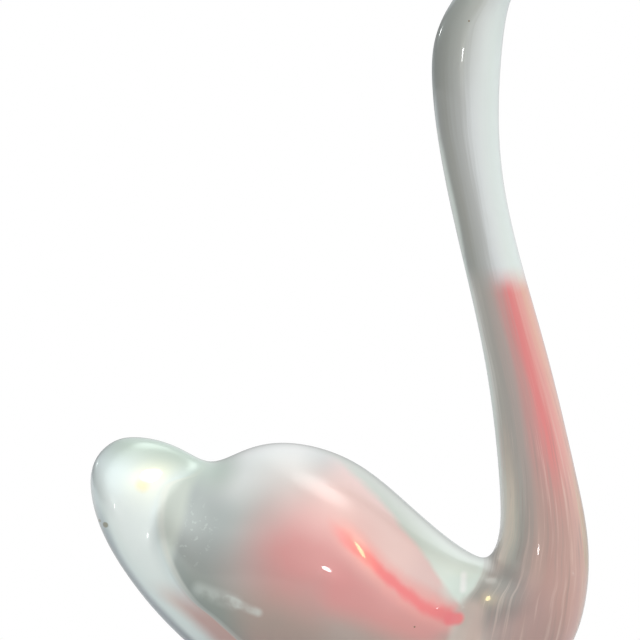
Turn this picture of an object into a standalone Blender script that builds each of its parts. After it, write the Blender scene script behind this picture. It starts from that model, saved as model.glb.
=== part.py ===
"""Porcelain swan sculpture: one slip-cast body with tail, folded wings, breast, neck and head.

The swan looks along +X, its plane of symmetry is Y = 0, and it stands on its flat foot at Z = 0.
The body is a ball drawn out along two lines in the plane of symmetry: the back line runs from the
tail tip over the back and up the nape to the beak, and the belly line runs under the tail, round
the breast and up the throat to the beak. Each ring of the ball spans one chord between them.
"""

import bmesh
import bpy
import numpy as np

HEIGHT = 0.222  # crown of the head above the foot, the size that sets all others
UNIT = HEIGHT / 222  # the lengths below are written in these, 1 mm at this height

# Sections from the tail tip to the beak: back x and z, belly x and z, half width, fullness, lean, ring spacing.
# Fullness 1 is a true ellipse, less makes the flanks flatter, more makes them rounder. Lean moves the widest
# line from the middle of the section towards the belly.
SECTIONS = (
    (-85.8, 77.1, -85.8, 77.1, 0.0, 0.8, 0.55, 2.0),  # tail tip
    (-77.0, 81.2, -88.4, 64.6, 10.5, 0.8, 0.55, 2.5),  # tail end
    (-64.0, 78.4, -79.0, 42.8, 14.0, 0.85, 0.55, 2.5),  # tail blade
    (-54.3, 74.2, -60.0, 21.0, 17.0, 1.0, 0.35, 2.1),  # notch between tail and back
    (-44.0, 77.7, -36.0, 4.6, 20.0, 1.1, 0.1, 2.6),  # rear of the back
    (-31.0, 79.4, -15.0, -4.2, 23.5, 1.15, 0.0, 3.5),  # top of the back
    (-15.0, 74.8, 3.0, -5.4, 25.5, 1.15, 0.0, 3.7),  # front of the back
    (2.5, 61.4, 24.0, 0.2, 20.5, 1.1, 0.05, 3.4),  # slope to the neck
    (19.5, 47.7, 45.5, 15.4, 17.5, 0.95, 0.1, 2.6),  # breast
    (24.5, 46.1, 51.2, 26.0, 16.8, 0.9, 0.1, 2.2),  # bend below the neck
    (27.4, 49.3, 53.9, 38.5, 15.0, 0.9, 0.05, 2.4),  # neck root
    (28.5, 67.5, 51.0, 68.0, 11.4, 0.95, 0.0, 5.2),  # thick of the neck
    (23.9, 104.5, 41.3, 107.5, 8.6, 1.0, 0.0, 7.0),  # lower neck
    (13.8, 149.0, 29.6, 152.0, 7.9, 1.0, 0.0, 7.0),  # upper neck
    (8.7, 184.0, 28.1, 184.5, 8.5, 1.0, 0.0, 4.8),  # swell of the nape
    (13.0, 203.3, 30.3, 203.2, 7.8, 1.0, 0.0, 3.0),  # throat
    (24.4, 216.7, 33.9, 208.6, 7.0, 1.0, 0.0, 2.6),  # bend of the head
    (38.2, 222.0, 42.0, 208.2, 6.6, 1.0, 0.0, 2.8),  # crown
    (50.3, 215.4, 51.6, 207.7, 4.6, 1.0, 0.0, 2.6),  # root of the beak
    (60.8, 210.9, 61.5, 207.3, 3.0, 1.0, 0.0, 1.8),  # beak
    (65.2, 208.9, 65.2, 208.9, 0.0, 1.0, 0.0, 1.4),  # beak tip
)
TAIL_TURN = (0.85, 0.91)  # the way the back line leaves the tail tip, the belly line the other way
TAIL_FLARE = 1.3  # half width gained there for each unit along the lines
BEAK_TURN = ((0.55, -0.85), (0.20, 0.95))  # how the back and the belly line reach the beak tip
BEAK_FLARE = -1.1

# Crease round one wing, seen from the side: rear top, round the rear, under the wing, front tip, crotch
WING_EDGE = (
    (-52.5, 78.0),
    (-61.5, 70.5),
    (-68.8, 60.0),
    (-66.5, 46.5),
    (-57.0, 30.5),
    (-38.0, 14.5),
    (-8.0, 8.5),
    (10.0, 21.0),
    (16.8, 34.5),
    (20.3, 42.5),
    (26.5, 49.5),
)
WING_ABOVE = ((21.0, 85.0), (-52.5, 95.0))  # over the back the wing runs on, up to this line in the air
WING_REACH = (-66.0, 12.0)  # x of the wing's rear and of its front tip
WING_LIP = ((4.0, 2.5), (8.0, 6.0))  # height and width of the rim's roll, each at the rear and the front
WING_DOME = ((8.0, 7.0), (36.0, 22.0))  # the same of the wide swell that the lip carries
WING_LOW = (0.0, 36.0)  # height over which the wing grows from its faint lower edge
WING_LOW_SHARE = 0.3
WING_FULLNESS = 2.2  # a higher power makes lip and dome rise more steeply
CREASE_RADIUS = 1.4
CREASE_POINTS = 160
WING_SHOULDER = 0.5  # less makes the wing reach its height closer to the back line

RING_VERTICES = 44
FOOT_MERGE = 0.5 * UNIT  # rim corners of the foot closer than this become one

PEARL_GLAZE = (0.72, 0.70, 0.68, 1.0)
GLAZE_ROUGHNESS = 0.12


def smooth_line(at, values, start=None, end=None):
    """The curve with no break in its curvature through values[i] at at[i], with any given end slopes."""
    gap = np.diff(at)[:, None]
    rise = np.diff(values, axis=0) / gap
    count = len(at)
    pull = np.zeros((count, count))
    want = np.zeros(values.shape)
    for i in range(1, count - 1):
        pull[i, i - 1 : i + 2] = gap[i - 1, 0], 2 * (gap[i - 1, 0] + gap[i, 0]), gap[i, 0]
        want[i] = 6 * (rise[i] - rise[i - 1])
    pull[0, 0] = pull[-1, -1] = 1
    if start is not None:
        pull[0, :2] = 2 * gap[0, 0], gap[0, 0]
        want[0] = 6 * (rise[0] - start)
    if end is not None:
        pull[-1, -2:] = gap[-1, 0], 2 * gap[-1, 0]
        want[-1] = 6 * (end - rise[-1])
    bend = np.linalg.solve(pull, want)

    def value(t):
        i = np.clip(np.searchsorted(at, t, side="right") - 1, 0, count - 2)
        past = (t - at[i])[:, None]
        left = (at[i + 1] - t)[:, None]
        g = gap[i]
        curved = (bend[i] * left**3 + bend[i + 1] * past**3) / (6 * g)
        straight = (values[i] * left + values[i + 1] * past) / g
        return curved + straight - (bend[i] * left + bend[i + 1] * past) * g / 6

    return value


def along(points):
    """Distance along a row of points, up to each of them."""
    return np.concatenate([[0], np.cumsum(np.linalg.norm(np.diff(points, axis=0), axis=1))])


def ease(x, low, high):
    """Rises smoothly from 0 at low to 1 at high."""
    share = np.clip((x - low) / (high - low), 0, 1)
    return share * share * (3 - 2 * share)


def depth_inside(points, outline):
    """Distance from each point to a closed outline, negative outside it."""
    nearest = np.full(len(points), np.inf)
    inside = np.zeros(len(points), dtype=bool)
    x, z = points.T
    for a, b in zip(outline, np.roll(outline, -1, axis=0)):
        share = np.clip(((points - a) @ (b - a)) / ((b - a) @ (b - a)), 0, 1)[:, None]
        nearest = np.minimum(nearest, np.linalg.norm(points - a - share * (b - a), axis=1))
        if a[1] != b[1]:
            crosses = (a[1] > z) != (b[1] > z)
            inside ^= crosses & (x < a[0] + (z - a[1]) * (b[0] - a[0]) / (b[1] - a[1]))
    return np.where(inside, nearest, -nearest)


def wing_relief(side):
    """How far the wing stands out from the body at each point of the side view."""
    edge = np.array(WING_EDGE)
    places = along(edge)
    crease = smooth_line(places, edge)(np.linspace(0, places[-1], CREASE_POINTS))
    depth = depth_inside(side, np.concatenate([crease, WING_ABOVE]))
    depth = (depth + np.hypot(depth, CREASE_RADIUS)) / 2
    forward = ease(side[:, 0], *WING_REACH)
    low = WING_LOW_SHARE + (1 - WING_LOW_SHARE) * ease(side[:, 1], *WING_LOW)
    relief = np.zeros(len(side))
    for heights, widths in (WING_LIP, WING_DOME):
        height = heights[0] + (heights[1] - heights[0]) * forward
        width = widths[0] + (widths[1] - widths[0]) * forward
        relief += height * (1 - (1 - np.minimum(depth / width, 1)) ** WING_FULLNESS)
    return relief * low


def section_places():
    """Where each section lies along the body, as the mean length of the back and belly lines up to it."""
    rows = np.array(SECTIONS)
    return (along(rows[:, 0:2]) + along(rows[:, 2:4])) / 2


def ring_count():
    """Rings that give each stretch of the body its own spacing."""
    spacing = np.array(SECTIONS)[:, -1]
    return int(np.sum(np.diff(section_places()) * 2 / (spacing[1:] + spacing[:-1])))


def swan_surface(ring, turn):
    """Points of the body: ring runs 0 to 1 from tail to beak, turn is 0 on the back and pi on the belly."""
    rows = np.array(SECTIONS)
    places = section_places()
    back_line = smooth_line(places, rows[:, 0:2], np.array(TAIL_TURN), np.array(BEAK_TURN[0]))
    belly_line = smooth_line(places, rows[:, 2:4], -np.array(TAIL_TURN), np.array(BEAK_TURN[1]))
    half_width = smooth_line(places, rows[:, 4:5], TAIL_FLARE, BEAK_FLARE)
    fullness = smooth_line(places, rows[:, 5:6])
    lean = smooth_line(places, rows[:, 6:7])
    fine = np.linspace(0, places[-1], 4000)
    rings_passed = np.cumsum(1 / np.interp(fine, places, rows[:, -1]))
    ring_share = (rings_passed - rings_passed[0]) / (rings_passed[-1] - rings_passed[0])
    place = np.interp(ring, ring_share, fine)
    back, belly = back_line(place), belly_line(place)
    side = back + (belly - back) * ((1 - np.cos(turn)) / 2)[:, None]
    bulge = np.abs(np.sin(turn - lean(place)[:, 0] * np.sin(turn)))
    body = half_width(place)[:, 0] * bulge ** fullness(place)[:, 0]
    out = body + wing_relief(side) * bulge**WING_SHOULDER
    return np.stack([side[:, 0], np.sign(np.sin(turn)) * out, side[:, 1]], axis=1)


def draw_out_ball(bm):
    """Makes the ball, and moves each of its vertices to its place on the swan."""
    bmesh.ops.create_uvsphere(bm, u_segments=RING_VERTICES, v_segments=ring_count(), radius=1.0)
    ball = np.array([vert.co for vert in bm.verts])
    ring = np.arccos(np.clip(ball[:, 2], -1, 1)) / np.pi
    turn = np.arctan2(ball[:, 1], ball[:, 0])
    places = swan_surface(ring, turn)
    places[:, 0] -= (places[:, 0].min() + places[:, 0].max()) / 2
    for vert, place in zip(bm.verts, places * UNIT):
        vert.co = place


def cut_foot(bm):
    """Cuts the belly off flat, which leaves the foot that the swan stands on."""
    everything = bm.verts[:] + bm.edges[:] + bm.faces[:]
    bmesh.ops.bisect_plane(bm, geom=everything, plane_co=(0, 0, 0), plane_no=(0, 0, -1), clear_outer=True)
    bmesh.ops.remove_doubles(bm, verts=[vert for vert in bm.verts if vert.is_boundary], dist=FOOT_MERGE)
    rim = [edge for edge in bm.edges if edge.is_boundary]
    bmesh.ops.holes_fill(bm, edges=rim, sides=0)
    bmesh.ops.recalc_face_normals(bm, faces=bm.faces[:])
    for edge in rim:
        edge.smooth = False


def glaze_material():
    material = bpy.data.materials.new("pearl_glaze")
    material.use_nodes = True
    shader = material.node_tree.nodes["Principled BSDF"]
    shader.inputs["Base Color"].default_value = PEARL_GLAZE
    shader.inputs["Roughness"].default_value = GLAZE_ROUGHNESS
    shader.inputs["Metallic"].default_value = 0.0
    shader.inputs["Coat Weight"].default_value = 1.0
    return material


def add_swan(collection):
    mesh = bpy.data.meshes.new("swan")
    bm = bmesh.new()
    draw_out_ball(bm)
    cut_foot(bm)
    bm.to_mesh(mesh)
    bm.free()
    mesh.shade_smooth()
    mesh.materials.append(glaze_material())
    collection.objects.link(bpy.data.objects.new("swan", mesh))


def main():
    for old in list(bpy.data.objects):
        bpy.data.objects.remove(old)
    collection = bpy.data.collections.new("porcelain swan sculpture")
    bpy.context.scene.collection.children.link(collection)
    add_swan(collection)


main()
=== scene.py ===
"""Looks of the porcelain swan: its skin, pearl glaze with airbrushed pink, floor, light and camera."""

import math

import bmesh
import bpy
from mathutils import Matrix, Vector

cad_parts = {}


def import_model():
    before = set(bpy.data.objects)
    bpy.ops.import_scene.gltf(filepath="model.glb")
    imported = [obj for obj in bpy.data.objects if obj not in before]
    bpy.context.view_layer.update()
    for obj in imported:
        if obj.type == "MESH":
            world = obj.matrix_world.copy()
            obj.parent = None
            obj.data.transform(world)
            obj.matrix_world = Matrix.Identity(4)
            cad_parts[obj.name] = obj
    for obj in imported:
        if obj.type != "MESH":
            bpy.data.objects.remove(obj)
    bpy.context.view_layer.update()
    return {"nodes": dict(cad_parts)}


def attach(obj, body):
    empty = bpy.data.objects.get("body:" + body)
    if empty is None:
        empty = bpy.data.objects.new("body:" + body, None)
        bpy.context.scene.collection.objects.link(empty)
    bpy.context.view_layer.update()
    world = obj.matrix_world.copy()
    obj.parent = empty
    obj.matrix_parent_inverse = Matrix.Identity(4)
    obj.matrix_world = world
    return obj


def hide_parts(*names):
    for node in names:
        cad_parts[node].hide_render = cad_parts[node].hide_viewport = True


MM = 0.001

# Photograph: the swan's outline in its 640 pixel frame sets the camera
PIXELS = 640
PIXEL_SIZE = 0.28571 * MM  # width of one pixel at the swan's plane of symmetry
AXIS_PIXEL = 359.4  # column of the frame's X = 0
FOOT_PIXEL = 722.0  # row of the foot, below the edge of the photograph
CAMERA_DISTANCE = 0.8
CAMERA_RISE = math.radians(4)
SENSOR = 36.0

MERGE = 1e-6
JOIN_FACES = math.radians(60)
JOIN_SHAPES = math.radians(70)
JOIN_BY_GRID = 1.3
SKIN_SUBDIVISIONS = 2
FOOT_BAND = 0.01 * MM

# Lines of the glaze: column and row of the photograph, and millimetres from the plane of symmetry
NAPE = (
    (441, 20, 0),
    (433, 60, 0),
    (436, 110, 0),
    (445, 160, 0),
    (458, 220, 0),
    (467, 270, 0),
    (480, 330, 0),
    (490, 380, 0),
    (497, 440, 0),
    (500, 500, 4),
    (489, 562, 14),
    (478, 586, 16),
    (466, 603, 18),
    (462, 620, 20),
    (458, 640, 20),
)
THROAT = (
    (510, 10, 0),
    (500, 50, 0),
    (498, 100, 0),
    (499, 150, 0),
    (505, 200, 0),
    (513, 250, 0),
    (523, 290, 0),
    (540, 350, 0),
    (555, 400, 0),
    (568, 450, 0),
    (578, 500, 0),
    (585, 550, 0),
    (587, 580, 0),
    (585, 610, 0),
    (576, 640, 0),
)
TAIL_CREASE = (
    (206, 460, 8),
    (193, 476, 12),
    (163, 491, 16),
    (158, 513, 16),
    (160, 536, 16),
    (168, 561, 16),
    (188, 593, 16),
    (215, 615, 16),
    (242, 640, 16),
)
TAIL_UNDERSIDE = (
    (91, 496, 0),
    (101, 535, 0),
    (123, 572, 0),
    (158, 611, 0),
    (198, 648, 0),
)
WING_REAR = (
    (222, 455, 8),
    (212, 464, 12),
    (198, 475, 18),
    (189, 491, 22),
    (183, 513, 22),
    (176, 540, 22),
    (169, 562, 20),
)
WING_TOP = (
    (200, 436, 12),
    (270, 432, 12),
    (310, 448, 16),
    (330, 457, 18),
    (357, 479, 22),
    (380, 501, 24),
    (399, 523, 24),
    (428, 559, 24),
    (443, 580, 24),
    (462, 606, 22),
)
RED_STREAK = (
    (337, 530, 27),
    (365, 554, 28),
    (390, 578, 28),
    (415, 598, 27),
    (437, 611, 25),
    (462, 621, 22),
)
WING_OUT = 27

# Airbrushed streaks, some of them painted light and shade: first and last pixel, millimetres from the
# plane of symmetry, how far the full colour reaches and how far it fades out beyond in millimetres, then
# strength and colour
TAIL_TOP = ((120, 436), (215, 462), 4, 1, 9, (0.9, (0.58, 0.66, 0.60)))
# Painted highlights on the tail: a bluish-white one and a small cream one
TAIL_BLUE_HIGHLIGHT = ((116, 462), (121, 480), 8, 1, 6, (0.5, (0.86, 0.97, 1.0)))
TAIL_CREAM_HIGHLIGHT = ((141, 486), (143, 487), 12, 0.3, 2.2, (0.6, (1.0, 0.86, 0.55)))
# Painted highlight on the wing's shoulder
SHOULDER_HIGHLIGHT = ((232, 454), (270, 452), 14, 6, 12, (0.95, (1.0, 1.0, 1.0)))
# Painted shade on the wing's rear, and a darker painted shade on its lower rear
REAR_SHADE = ((196, 508), (205, 530), WING_OUT, 2, 10, (0.6, (0.55, 0.58, 0.59)))
LOW_REAR_SHADE = ((190, 630), (250, 640), WING_OUT, 8, 22, (0.85, (0.28, 0.29, 0.28)))
BLUSH = ((262, 570), (296, 506), 25, 3, 14, (0.5, (0.74, 0.48, 0.46)))
HAZE_PINK = ((340, 520), (440, 600), 24, 5, 14, (0.85, (0.92, 0.58, 0.57)))
EDGE_PINK = ((345, 492), (395, 545), 24, 3, 9, (0.7, (1.0, 0.68, 0.65)))
# Pink glaze darkened below the wing as painted shade
UNDER_MAUVE_SHADE = ((296, 628), (440, 662), WING_OUT, 9, 14, (0.85, (0.54, 0.37, 0.34)))
MIDDLE_PINK = ((300, 552), (322, 562), WING_OUT, 1, 20, (0.9, (0.86, 0.35, 0.355)))
LOW_PINK = ((345, 585), (425, 622), WING_OUT, 2, 9, (0.8, (0.86, 0.33, 0.34)))
# Painted reflection: pale green in the hollow beside the neck
HOLLOW_REFLECTION = ((455, 585), (474, 588), 16, 1, 5, (0.7, (0.76, 0.85, 0.81)))
BREAST_MAUVE = ((512, 615), (525, 640), 14, 5, 11, (0.6, (0.47, 0.31, 0.31)))
# Painted shadow at the neck's root
NECK_ROOT_SHADOW = ((500, 594), (479, 602), 14, 3, 7, (0.8, (0.26, 0.24, 0.24)))
BELOW_DROP = ((470, 614), (462, 648), 18, 2, 4, (0.8, (0.60, 0.46, 0.43)))
RED_DROP = ((450, 618), (458, 619), 22, 0.9, 1.6, (0.9, (1.0, 0.20, 0.24)))
# Painted highlight: a white glint in the hollow beside the neck
HOLLOW_GLINT = ((464, 576), (463, 589), 18, 0.05, 1.6, (1.0, (1.0, 1.0, 1.0)))

# Streaks that only hold the painted reflection of ripples and the specks of the wing's lower rear
REFLECTED_RIPPLE_REAR = ((199, 592), (234, 602), WING_OUT, 0.4, 3.0)
REFLECTED_RIPPLE_FRONT = ((228, 600), (258, 611), WING_OUT, 0.2, 1.8)
SPECKS = ((196, 528), (190, 548), WING_OUT, 2, 6)

# Paints: strength and colour
# Painted light on the pale green wall of the wing's rear, beside the tail
RIM_PAINTED_LIGHT = (0.9, (0.84, 0.88, 0.82))
# Painted highlight along the crease between tail and wing
RIDGE_HIGHLIGHT = (1.0, (1.0, 1.0, 0.95))
TAIL_WHITE = (1.0, (0.89, 0.96, 0.97))
TAIL_PINK = (0.95, (0.70, 0.41, 0.38))
TAIL_SHADE = (0.8, (0.18, 0.21, 0.26))
# The red streak and its halo: pink glaze brightened into a painted highlight along the wing
HALO_PINK_AND_HIGHLIGHT = (0.75, (1.0, 0.40, 0.40))
STREAK_RED_AND_HIGHLIGHT = (0.9, (1.0, 0.20, 0.23))
# Painted reflection of the ripples, and the white of the specks
RIPPLE_REFLECTION_AND_SPECKS = (1.0, (0.86, 0.92, 0.90))
# Painted shade on the nape side near the head
CROWN_SHADE = (0.7, (0.49, 0.51, 0.49))
COMBED_LIGHT = (0.32, (0.86, 0.68, 0.63))
COMBED_DARK = (0.35, (0.40, 0.28, 0.27))
CHIP_BROWN = (0.85, (0.33, 0.28, 0.20))
PINHOLE_BROWN = (1.0, (0.22, 0.14, 0.08))
PEARL = ((0.62, 0.66, 0.66), (0.68, 0.70, 0.70))
# Painted reflection: the pale green strip along the top of the wing
REFLECTED_STRIP_GREENS = ((0.58, 0.64, 0.58), (0.88, 0.97, 0.91))
STRIP_STRENGTH = 0.9
BARE = ((0.72, 0.69, 0.64), (0.45, 0.40, 0.34))  # the bare foot, and its grime
GRIME_STRENGTH = 0.5

# Rows of the photograph between which a paint comes in
RIDGE_ROWS = (600, 560)
TAIL_PINK_ROWS = (566, 610)
TAIL_SHADE_ROWS = (485, 545)
TAIL_SHADE_END_ROWS = (700, 640)
NECK_FOOT_ROWS = (560, 625)
NECK_PINK_ROWS = (262, 294)
NECK_MAUVE_ROWS = (395, 515)
CROWN_ROWS = (130, 30)
COMBED_ROWS = (330, 470)

# Millimetres beside a line between which a paint comes in
RIM_EDGE = (2.0, -1.5)
TAIL_EDGE = (-1.0, 1.5)
TAIL_PINK_START = (-0.6, 0.6)
TAIL_PINK_END = (12, 4)
TAIL_SHADE_EDGE = (6.0, 2.4)
WING_EDGE = (-1.0, 2.5)
STRIP_EDGE = (-2.2, 1.0)

# Noise over the glaze: sizes in millimetres, and how far it shifts what it disturbs in millimetres
DRIFT_SIZE = 38
CLOUD_SIZE = 14
FINE_SIZE = 5
WAVES_SIZE = 9
SPECKS_SIZE = 1.5
PINK_SHIFT = 3
STREAK_SHIFT = 2.5
STRIP_SHIFT = 2
NECK_SHIFT = 6
GRIME_SIZE = 5
GRAIN_SIZE = 0.6
GRAIN_RELIEF = 0.1 * MM
CLOUDED = 0.6  # how much clouds thin or thicken the wing's pinks

# Values of the noise between which a paint comes in
PEARL_NOISE = (0.35, 0.65)
REFLECTED_RIPPLE_NOISE = (0.2, 0.65)
SPECKS_NOISE = (0.60, 0.68)
COMBED_LIGHT_NOISE = (0.54, 0.68)
COMBED_DARK_NOISE = (0.46, 0.34)
GRIME_NOISE = (0.4, 0.7)

# Bands in millimetres beside a line: where each starts, is full, starts to fade and ends
RIDGE = (-3.5, -1.5, 0.5, 1.5)
RIDGE_LINE = (-2.4, -1.0, 0.2, 1.0)
HALO = (-7, -1, 1.5, 7)
STREAK = (-3.3, -0.4, 0.4, 3.3)
STREAK_TIPS = (-4, 6, -0.5, 1.5)  # the first two from its start, the others from its end

# Millimetres X between which a paint comes in
HAZE_START = (-36, -10)
EDGE_PINK_START = (-16, -2)
STRIP_TURN = (6, 30)

RIDGE_STRENGTHS = (0.2, 0.6)  # low down and higher up
REFLECTED_RIPPLE_STRENGTHS = (0.385, 0.55)  # rear and front
SPECKS_STRENGTH = 0.4

# Places across the neck, from the nape at 0 to the throat at 1, between which a paint comes in
NECK_EDGE = (-0.05, 0.04)
NECK_FOOT_EDGE = (-0.12, 0.0)
CROWN_ACROSS = (0.85, 0.35)
COMB_COUNT = 24  # waves of the combed streaks across the neck
COMB_LENGTH = 30  # their length in millimetres
COMB_WAVER = 0.2  # how far they shift the paint across the neck
MAUVE_SLANT = 8  # how much lower the mauve starts at the throat, in millimetres

# Flaws of the glaze: pixel, millimetres from the plane of symmetry, width in millimetres
CHIPS = (((107, 522), 6, 1.7), ((101, 518), 4, 1.0))
PINHOLES = (((469, 21), 8, 0.5), ((414, 624), 27, 0.5))
FLAW_EDGE = (0.6, 0.35)  # shares of its width between which a flaw comes in
CAMERA_SIDE = (1, 0)  # millimetres Y between which the flaws come in

RELIEF = 0.3 * MM  # depth of the glaze's unevenness, of which the waves and the chips are shares
WAVES_HEIGHT = 0.35
CHIPS_DEPTH = 0.8

FLOOR_RADIUS = 4.0
FLOOR_SEGMENTS = 96
FLOOR_GREY = 0.8
FLOOR_GLOW = (0.05, 0.12)  # distances from the swan between which the floor turns to plain white

# Glaze across the neck, from the nape at 0 to the throat at 1, at three heights; the dark nape side is
# painted shade
UPPER_NECK = (
    (0.05, (0.39, 0.37, 0.36)),
    (0.35, (0.50, 0.51, 0.52)),
    (0.58, (0.77, 0.80, 0.84)),
    (1.00, (0.82, 0.87, 0.87)),
)
MIDDLE_NECK = (
    (0.00, (0.80, 0.76, 0.72)),
    (0.10, (0.54, 0.49, 0.47)),
    (0.20, (0.47, 0.42, 0.41)),
    (0.32, (0.50, 0.41, 0.40)),
    (0.50, (0.64, 0.33, 0.33)),
    (0.72, (0.82, 0.21, 0.23)),
    (0.88, (0.86, 0.36, 0.35)),
    (1.00, (0.86, 0.46, 0.38)),
)
LOWER_NECK = (
    (0.00, (0.85, 0.84, 0.80)),
    (0.12, (0.80, 0.64, 0.58)),
    (0.24, (0.51, 0.48, 0.46)),
    (0.36, (0.50, 0.41, 0.39)),
    (0.48, (0.55, 0.37, 0.34)),
    (0.62, (0.54, 0.32, 0.30)),
    (0.76, (0.56, 0.32, 0.30)),
    (0.88, (0.66, 0.38, 0.35)),
    (0.96, (0.72, 0.43, 0.36)),
    (1.00, (0.60, 0.40, 0.26)),
)

# Soft light of the room: from the tail's side, from the breast's side and from above
ROOM_SIDES = ((0.13, 0.135, 0.13), (0.95, 0.97, 0.96))
ROOM_TOP = (0.6, 0.62, 0.63)
ROOM_STRENGTH = 0.95
SIDE_TURN = (-0.4, 1.0)
TOP_TURN = (0.2, 1.0)

# Glows of the room: azimuth, elevation, how far each spreads in degrees, brightness
ROOM_GLOWS = (
    (88, 78, 18, (2.3, 2.35, 2.4)),
    (-6, 52, 38, (0.7, 0.75, 0.76)),
    (165, 45, 50, (0.4, 0.4, 0.4)),
    (180, 5, 45, (0.2, 0.2, 0.2)),
    (0, 5, 75, (0.25, 0.25, 0.25)),
)

# Small lamps for the glints: azimuth, elevation, width and height, W/m2 on a sheet at the swan, colour
LAMPS = {
    "warm_lamp": (27, 36, (0.11, 0.2), 0.22, (1.0, 0.82, 0.35)),
    "white_lamp": (-12, 9, (0.07, 0.07), 0.07, (1.0, 1.0, 1.0)),
    "side_lamp": (80, -7, (0.05, 0.1), 0.04, (1.0, 1.0, 1.0)),
    "window": (-127, 21, (0.07, 0.1), 0.06, (1.0, 1.0, 1.0)),
}
LAMP_DISTANCE = 1.2


class Value:
    """A number that varies over a surface: arithmetic on it adds the nodes that work it out."""

    def __init__(self, tree, socket):
        self.tree = tree
        self.socket = socket

    def math(self, operation, *others):
        return self.tree.value("ShaderNodeMath", {"operation": operation}, 0, self, *others)

    def __add__(self, other):
        return self.math("ADD", other)

    __radd__ = __add__

    def __mul__(self, other):
        return self.math("MULTIPLY", other)

    __rmul__ = __mul__

    def __sub__(self, other):
        return self.math("SUBTRACT", other)

    def __rsub__(self, other):
        return (self * -1) + other

    def __truediv__(self, other):
        return self.math("DIVIDE", other)

    def __pow__(self, other):
        return self.math("POWER", other)

    def clamp(self):
        return self.math("MAXIMUM", 0).math("MINIMUM", 1)

    def ease(self, low, high):
        """Rises smoothly from 0 at low to 1 at high, or falls where high is the lower one."""
        settings = {"interpolation_type": "SMOOTHSTEP"}
        return self.tree.value("ShaderNodeMapRange", settings, 0, self, low, high, 0.0, 1.0)


class Tree:
    """The nodes of a material or of the world."""

    def __init__(self, holder, coordinates, unit):
        holder.use_nodes = True
        self.nodes = holder.node_tree.nodes
        self.links = holder.node_tree.links
        self.place = self.node("ShaderNodeTexCoord").outputs[coordinates]
        split = self.node("ShaderNodeSeparateXYZ", {}, self.place)
        self.x, self.y, self.z = (Value(self, split.outputs[i]) / unit for i in range(3))

    def node(self, kind, settings=None, *inputs, **named):
        """A node: its settings come first, then the values or links of its sockets, by order or name."""
        made = self.nodes.new(kind)
        for name, setting in (settings or {}).items():
            if name == "points":
                bend_curve(made.mapping, setting)
            elif name == "stops":
                fill_ramp(made.color_ramp, setting)
            else:
                setattr(made, name, setting)
        for key, given in [*enumerate(inputs), *named.items()]:
            self.feed(made.inputs[key.replace("_", " ") if isinstance(key, str) else key], given)
        return made

    def feed(self, socket, given):
        """Puts a number, a colour or a link into a socket."""
        if isinstance(given, Value):
            given = given.socket
        if isinstance(given, bpy.types.NodeSocket):
            self.links.new(given, socket)
        else:
            socket.default_value = given

    def value(self, kind, settings, output, *inputs, **named):
        return Value(self, self.node(kind, settings, *inputs, **named).outputs[output])

    def mix(self, share, below, above, blend="MIX"):
        """One colour laid over another."""
        made = self.node("ShaderNodeMix", {"data_type": "RGBA", "blend_type": blend}, share)
        for socket, colour in ((made.inputs[6], below), (made.inputs[7], above)):
            self.feed(socket, (*colour, 1.0) if isinstance(colour, tuple) else colour)
        return made.outputs[2]

    def follow(self, value, line):
        """What a smooth line through points, each a value and a result, gives at a value."""
        points = sorted(line)
        start, low = map(min, zip(*points))
        end, high = map(max, zip(*points))
        curve = [((at - start) / (end - start), (given - low) / (high - low)) for at, given in points]
        along = (value - start) / (end - start)
        share = self.value("ShaderNodeFloatCurve", {"points": curve}, 0, 1.0, along)
        return share * (high - low) + low

    def ramp(self, value, stops):
        return self.node("ShaderNodeValToRGB", {"stops": stops}, value).outputs[0]

    def noise(self, size, detail=2.0):
        """Soft noise whose lumps are about size millimetres across."""
        mapped = self.node("ShaderNodeMapping", {}, self.place, Scale=(1 / (size * MM),) * 3)
        return self.value("ShaderNodeTexNoise", {}, 0, Vector=mapped.outputs[0], Scale=1.0, Detail=detail)

    def set(self, shader, **sockets):
        for name, given in sockets.items():
            self.feed(self.nodes[shader].inputs[name.replace("_", " ")], given)


def fill_ramp(ramp, stops):
    """Puts colours at places between 0 and 1 on a ramp node."""
    ramp.interpolation = "EASE"
    for place, colour in stops[2:]:
        ramp.elements.new(place)
    for element, (place, colour) in zip(ramp.elements, stops):
        element.position = place
        element.color = (*colour, 1.0)


def bend_curve(mapping, points):
    """Puts a curve node's curve through points between 0 and 1."""
    curve = mapping.curves[0]
    for place in points[2:]:
        curve.points.new(*place)
    for point, place in zip(curve.points, points):
        point.location = place
    mapping.update()


def aim_point():
    """The middle of the photograph, on the swan's plane of symmetry."""
    return Vector((PIXELS / 2 - AXIS_PIXEL, 0, FOOT_PIXEL - PIXELS / 2)) * PIXEL_SIZE


def at_pixel(column, row, out):
    """Millimetres X and Z of what a pixel shows, if that is out millimetres from the plane of symmetry."""
    across = (column - PIXELS / 2) * PIXEL_SIZE / CAMERA_DISTANCE
    up = (PIXELS / 2 - row) * PIXEL_SIZE / CAMERA_DISTANCE
    toward, fall = math.cos(CAMERA_RISE), math.sin(CAMERA_RISE)
    away = (CAMERA_DISTANCE * toward - out * MM) / (toward + up * fall)
    rise = CAMERA_DISTANCE * fall + (up * toward - fall) * away
    place = aim_point()
    return (place.x + across * away) / MM, (place.z + rise) / MM


def material_tree(name):
    material = bpy.data.materials.new(name)
    return material, Tree(material, "Object", MM)


def column_at_height(tree, line):
    """Millimetres X of a line of pixels, at each height."""
    return tree.follow(tree.z, [(z, x) for x, z in (at_pixel(*pixel) for pixel in line)])


def height_at_column(tree, line):
    """Millimetres Z of a line of pixels, at each X."""
    return tree.follow(tree.x, [at_pixel(*pixel) for pixel in line])


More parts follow.
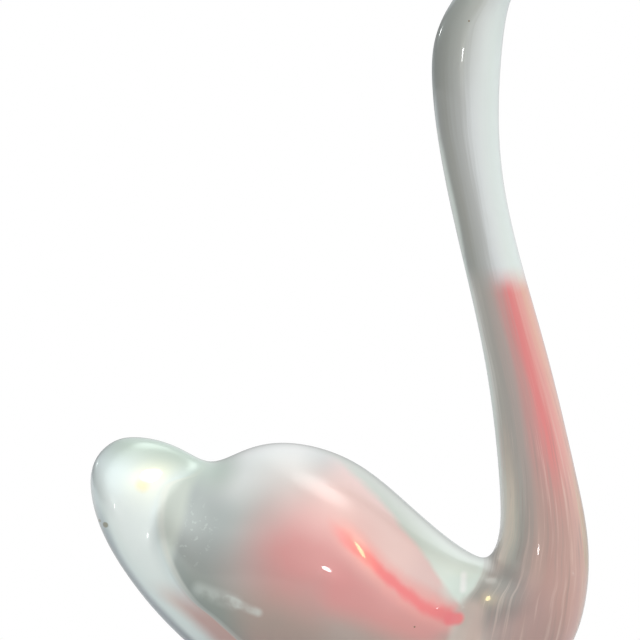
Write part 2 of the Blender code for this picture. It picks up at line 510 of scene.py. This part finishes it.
def spray(tree, start, end, out, reach, soft):
    """A streak between two pixels: 1 within reach millimetres of it, fading out over soft ones."""
    x0, z0 = at_pixel(*start, out)
    x1, z1 = at_pixel(*end, out)
    across, up = x1 - x0, z1 - z0
    length = across * across + up * up
    dx, dz = tree.x - x0, tree.z - z0
    share = ((dx * across + dz * up) / length).clamp() if length else 0.0
    away = ((dx - share * across) ** 2 + (dz - share * up) ** 2) ** 0.5
    return away.ease(reach + soft, reach)


def by_row(height, rows):
    """Rises from 0 at the height of the first row of the photograph to 1 at that of the second."""
    return height.ease(*(at_pixel(PIXELS / 2, row, 0)[1] for row in rows))


def band(value, edges):
    """1 inside a band and 0 outside it."""
    start, full, fade, end = edges
    return value.ease(start, full) * value.ease(end, fade)


def lay(tree, colour, share, paint):
    """Lays a paint over what is there, where share lets it."""
    strength, tint = paint
    return tree.mix(share * strength, colour, tint)


def airbrush(tree, colour, streak, share=1.0):
    """Sprays a streak over what is there, where share lets it."""
    *shape, paint = streak
    return lay(tree, colour, (spray(tree, *shape) * share).clamp(), paint)


def paint_tail(tree, colour, cloud):
    """White tail with a pale green rim of painted light beside the wing, a painted highlight along the
    crease, painted blue and cream highlights, a pink edge low down and painted shade on the underside.
    """
    beside = column_at_height(tree, TAIL_CREASE) - tree.x
    rim = (tree.x - column_at_height(tree, WING_REAR)).ease(*RIM_EDGE)
    colour = lay(tree, colour, rim, RIM_PAINTED_LIGHT)
    faint, strong = RIDGE_STRENGTHS
    # Painted highlight along the crease, faint low down and stronger higher up
    ridge_highlight = band(beside, RIDGE) * by_row(tree.z, RIDGE_ROWS) * (strong - faint) + faint
    colour = lay(tree, colour, ridge_highlight * band(beside, RIDGE_LINE), RIDGE_HIGHLIGHT)
    colour = lay(tree, colour, beside.ease(*TAIL_EDGE), TAIL_WHITE)
    for streak in (TAIL_BLUE_HIGHLIGHT, TAIL_CREAM_HIGHLIGHT, TAIL_TOP):
        colour = airbrush(tree, colour, streak)
    shifted = beside + (cloud - 0.5) * PINK_SHIFT
    pink = beside.ease(*TAIL_PINK_START) * shifted.ease(*TAIL_PINK_END)
    colour = lay(tree, colour, pink * by_row(tree.z, TAIL_PINK_ROWS), TAIL_PINK)
    inward = tree.x - column_at_height(tree, TAIL_UNDERSIDE)
    rows = by_row(tree.z, TAIL_SHADE_ROWS) * by_row(tree.z, TAIL_SHADE_END_ROWS)
    return lay(tree, colour, inward.ease(*TAIL_SHADE_EDGE) * rows, TAIL_SHADE)


def paint_streak(tree, colour, fine):
    """The red streak along the wing, in a pink halo: pink glaze brightened into a painted highlight."""
    start, end = (at_pixel(*pixel)[0] for pixel in (RED_STREAK[0], RED_STREAK[-1]))
    tips = [near + far for near, far in zip(STREAK_TIPS, (start, start, end, end))]
    length = band(tree.x, tips)
    aside = tree.z - height_at_column(tree, RED_STREAK) + (fine - 0.5) * STREAK_SHIFT
    colour = lay(tree, colour, band(aside, HALO) * length, HALO_PINK_AND_HIGHLIGHT)
    return lay(tree, colour, band(aside, STREAK) * length, STREAK_RED_AND_HIGHLIGHT)


def paint_wing(tree, colour, cloud, fine):
    """Painted highlight on the shoulder, painted shade on the rear and lower rear, pink clouds darkened
    below as painted shade, one red streak with a painted highlight, a pale green strip on top as painted
    reflection, and painted reflections of ripples among specks.
    """
    wing = (tree.x - column_at_height(tree, WING_REAR)).ease(*WING_EDGE)
    clouded = (cloud - 0.5) * CLOUDED + 1
    for streak, share in (
        (SHOULDER_HIGHLIGHT, 1.0),
        (REAR_SHADE, wing),
        (LOW_REAR_SHADE, wing),
        (BLUSH, 1.0),
        (HAZE_PINK, tree.x.ease(*HAZE_START)),
        (EDGE_PINK, tree.x.ease(*EDGE_PINK_START)),
        (UNDER_MAUVE_SHADE, clouded),
        (MIDDLE_PINK, clouded),
        (LOW_PINK, 1.0),
    ):
        colour = airbrush(tree, colour, streak, share)
    colour = paint_streak(tree, colour, fine)
    # Painted reflection: a pale green strip along the top of the wing
    above = tree.z - height_at_column(tree, WING_TOP) + (fine - 0.5) * STRIP_SHIFT
    reflected_green = tree.mix(tree.x.ease(*STRIP_TURN), *REFLECTED_STRIP_GREENS)
    colour = tree.mix(above.ease(*STRIP_EDGE) * wing * STRIP_STRENGTH, colour, reflected_green)
    colour = airbrush(tree, colour, HOLLOW_REFLECTION)
    rear, front = REFLECTED_RIPPLE_STRENGTHS
    # Painted reflection of ripples, with the specks
    reflected_ripple = (spray(tree, *REFLECTED_RIPPLE_REAR) * (rear / front) + spray(tree, *REFLECTED_RIPPLE_FRONT)).clamp() * front
    specks = spray(tree, *SPECKS) * tree.noise(SPECKS_SIZE).ease(*SPECKS_NOISE) * SPECKS_STRENGTH
    return lay(tree, colour, (reflected_ripple * fine.ease(*REFLECTED_RIPPLE_NOISE) + specks).clamp(), RIPPLE_REFLECTION_AND_SPECKS)


def paint_neck(tree, colour, cloud):
    """Nape darkened as painted shade, pink throat with a peach edge, mauve breast with a painted shadow at
    the neck's root, all combed with fine lengthwise streaks.
    """
    nape = column_at_height(tree, NAPE)
    throat = column_at_height(tree, THROAT)
    across = (tree.x - nape) / (throat - nape)  # 0 at the nape, 1 at the throat
    low = by_row(tree.z, NECK_FOOT_ROWS)
    neck = across.ease(*NECK_EDGE) * (1 - low) + across.ease(*NECK_FOOT_EDGE) * low

    place = tree.node("ShaderNodeCombineXYZ", {}, across * COMB_COUNT, 0.0, tree.z / COMB_LENGTH)
    combed = tree.value(
        "ShaderNodeTexNoise", {}, 0, Vector=place.outputs[0], Scale=1.0, Detail=3.0, Roughness=0.55
    )
    wavy = across + (combed - 0.5) * COMB_WAVER
    upper, middle, lower = (tree.ramp(wavy, stops) for stops in (UPPER_NECK, MIDDLE_NECK, LOWER_NECK))
    height = tree.z + (cloud - 0.5) * NECK_SHIFT
    paint = tree.mix(by_row(height, NECK_PINK_ROWS), upper, middle)
    paint = tree.mix(by_row(height + across * MAUVE_SLANT, NECK_MAUVE_ROWS), paint, lower)
    paint = lay(tree, paint, by_row(tree.z, CROWN_ROWS) * across.ease(*CROWN_ACROSS), CROWN_SHADE)
    colour = tree.mix(neck, colour, paint)

    colour = airbrush(tree, colour, BREAST_MAUVE, neck)
    colour = airbrush(tree, colour, NECK_ROOT_SHADOW, neck)
    streaky = by_row(tree.z, COMBED_ROWS) * neck
    colour = lay(tree, colour, combed.ease(*COMBED_LIGHT_NOISE) * streaky, COMBED_LIGHT)
    return lay(tree, colour, combed.ease(*COMBED_DARK_NOISE) * streaky, COMBED_DARK)


def flaws(tree, places):
    """Small flaws of the glaze on the camera's side."""
    shown = 0.0
    for pixel, out, size in places:
        x, z = at_pixel(*pixel, out)
        away = ((tree.x - x) ** 2 + (tree.z - z) ** 2) ** 0.5
        shown = (away / size).ease(*FLAW_EDGE) * tree.y.ease(*CAMERA_SIDE) + shown
    return shown


def pearl_glaze():
    """Glossy mother-of-pearl glaze over white porcelain, with pink airbrushed on neck, wings and tail."""
    material, tree = material_tree("pearl_glaze")
    drift = tree.noise(DRIFT_SIZE, detail=1.0)
    cloud = tree.noise(CLOUD_SIZE, detail=3.0)
    fine = tree.noise(FINE_SIZE, detail=3.0)
    colour = tree.mix(drift.ease(*PEARL_NOISE), *PEARL)
    colour = paint_wing(tree, colour, cloud, fine)
    colour = paint_tail(tree, colour, cloud)
    colour = paint_neck(tree, colour, cloud)
    for streak in (BELOW_DROP, RED_DROP, HOLLOW_GLINT):
        colour = airbrush(tree, colour, streak)
    chips = flaws(tree, CHIPS)
    colour = lay(tree, colour, chips, CHIP_BROWN)
    colour = lay(tree, colour, flaws(tree, PINHOLES), PINHOLE_BROWN)

    height = tree.noise(WAVES_SIZE) * WAVES_HEIGHT - chips * CHIPS_DEPTH
    bump = tree.node("ShaderNodeBump", {}, Strength=0.25, Distance=RELIEF, Height=height)
    tree.set(
        "Principled BSDF",
        Base_Color=colour,
        Roughness=cloud * 0.12 + 0.28,
        Metallic=0.2,
        Normal=bump.outputs[0],
        IOR=1.6,
        Coat_Weight=0.8,
        Coat_Roughness=0.02,
        Coat_IOR=1.5,
        Thin_Film_Thickness=420.0,
        Thin_Film_IOR=1.7,
    )
    return material


def bare_porcelain():
    """The unglazed foot: matt, warm white, slightly soiled."""
    material, tree = material_tree("bare_porcelain")
    grime = tree.noise(GRIME_SIZE, detail=4.0)
    fine = tree.noise(GRAIN_SIZE)
    bump = tree.node("ShaderNodeBump", {}, Strength=0.3, Distance=GRAIN_RELIEF, Height=fine)
    tree.set(
        "Principled BSDF",
        Base_Color=tree.mix(grime.ease(*GRIME_NOISE) * GRIME_STRENGTH, *BARE),
        Roughness=fine * 0.2 + 0.65,
        Normal=bump.outputs[0],
    )
    return material


def glazed_skin(node):
    """A smooth skin over the cast body: its triangles joined back into rings and subdivided."""
    bm = bmesh.new()
    bm.from_mesh(node.data)
    bmesh.ops.remove_doubles(bm, verts=bm.verts[:], dist=MERGE)
    bmesh.ops.join_triangles(
        bm,
        faces=bm.faces[:],
        angle_face_threshold=JOIN_FACES,
        angle_shape_threshold=JOIN_SHAPES,
        topology_influence=JOIN_BY_GRID,
    )
    crease = bm.edges.layers.float.new("crease_edge")
    floor = min(vert.co.z for vert in bm.verts)
    foot = [face for face in bm.faces if all(vert.co.z < floor + FOOT_BAND for vert in face.verts)]
    for face in bm.faces:
        face.smooth = True
    for face in foot:
        face.material_index = 1
        face.smooth = False
    rim = [edge for edge in bm.edges if sum(face in foot for face in edge.link_faces) == 1]
    for edge in rim:
        edge[crease] = 1.0
        edge.smooth = False
    mesh = bpy.data.meshes.new("glazed_swan")
    bm.to_mesh(mesh)
    bm.free()
    skin = bpy.data.objects.new("glazed_swan", mesh)
    bpy.context.scene.collection.objects.link(skin)
    rounding = skin.modifiers.new("rounding", "SUBSURF")
    rounding.levels = rounding.render_levels = SKIN_SUBDIVISIONS
    mesh.materials.append(pearl_glaze())
    mesh.materials.append(bare_porcelain())
    return skin


def pale_floor():
    """A white sheet that brightens away from the swan until it meets the white of the studio."""
    mesh = bpy.data.meshes.new("floor")
    bm = bmesh.new()
    bmesh.ops.create_circle(bm, cap_ends=True, radius=FLOOR_RADIUS, segments=FLOOR_SEGMENTS)
    bm.to_mesh(mesh)
    bm.free()
    floor = bpy.data.objects.new("floor", mesh)
    bpy.context.scene.collection.objects.link(floor)
    material, tree = material_tree("white_sheet")
    far = (tree.x**2 + tree.y**2) ** 0.5
    tree.set("Principled BSDF", Base_Color=(FLOOR_GREY, FLOOR_GREY, FLOOR_GREY, 1.0), Roughness=0.9)
    white = tree.node("ShaderNodeEmission", {}, (1.0, 1.0, 1.0, 1.0), 1.0)
    seen = Value(tree, tree.node("ShaderNodeLightPath").outputs["Is Camera Ray"])
    glow = far.ease(*(edge / MM for edge in FLOOR_GLOW)) * seen
    paper = tree.nodes["Principled BSDF"].outputs[0]
    mixed = tree.node("ShaderNodeMixShader", {}, glow, paper, white.outputs[0])
    tree.set("Material Output", Surface=mixed.outputs[0])
    mesh.materials.append(material)


def toward(azimuth, elevation):
    """The direction at an azimuth, 0 at the camera and 90 before the breast, and an elevation."""
    turn, rise = math.radians(azimuth), math.radians(elevation)
    return Vector((math.sin(turn) * math.cos(rise), -math.cos(turn) * math.cos(rise), math.sin(rise)))


def aim_from(holder, azimuth, elevation, distance):
    """Puts a lamp or a camera at a distance in a direction, aimed at the middle of the photograph."""
    away = toward(azimuth, elevation)
    turn = away.to_track_quat("Z", "Y").to_matrix().to_4x4()
    holder.matrix_world = Matrix.Translation(aim_point() + away * distance) @ turn
    bpy.context.scene.collection.objects.link(holder)


def lamp(name, azimuth, elevation, size, lit, colour):
    light = bpy.data.lights.new(name, "AREA")
    light.shape = "ELLIPSE"
    light.size, light.size_y = size
    light.energy = lit * math.pi * LAMP_DISTANCE**2
    light.color = colour
    aim_from(bpy.data.objects.new(name, light), azimuth, elevation, LAMP_DISTANCE)


def studio_world():
    """Soft room light, brighter from above and from the breast's side. The camera sees plain white."""
    world = bpy.data.worlds.new("studio")
    bpy.context.scene.world = world
    tree = Tree(world, "Generated", 1)
    side = tree.mix(tree.x.ease(*SIDE_TURN), *ROOM_SIDES)
    room = tree.mix(tree.z.ease(*TOP_TURN), side, ROOM_TOP)
    for azimuth, elevation, spread, brightness in ROOM_GLOWS:
        away = toward(azimuth, elevation)
        facing = tree.x * away.x + tree.y * away.y + tree.z * away.z
        room = tree.mix(facing.ease(math.cos(math.radians(spread)), 1.0), room, brightness, "ADD")
    tree.set("Background", Color=room, Strength=ROOM_STRENGTH)
    seen = tree.node("ShaderNodeBackground", {}, (1, 1, 1, 1), 1.0)
    path = tree.node("ShaderNodeLightPath")
    lit = tree.nodes["Background"].outputs[0]
    mixed = tree.node("ShaderNodeMixShader", {}, path.outputs["Is Camera Ray"], lit, seen.outputs[0])
    tree.set("World Output", Surface=mixed.outputs[0])


def studio_light():
    studio_world()
    for name, lamp_values in LAMPS.items():
        lamp(name, *lamp_values)


def camera():
    data = bpy.data.cameras.new("camera")
    data.sensor_width = SENSOR
    data.lens = SENSOR * CAMERA_DISTANCE / (PIXELS * PIXEL_SIZE)
    data.clip_end = 20
    holder = bpy.data.objects.new("camera", data)
    aim_from(holder, 0, math.degrees(CAMERA_RISE), CAMERA_DISTANCE)
    bpy.context.scene.camera = holder


def main():
    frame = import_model()
    skin = glazed_skin(frame["nodes"]["swan"])
    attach(skin, "root")
    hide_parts("swan")
    pale_floor()
    studio_light()
    camera()
    bpy.context.scene.view_settings.view_transform = "Standard"


main()
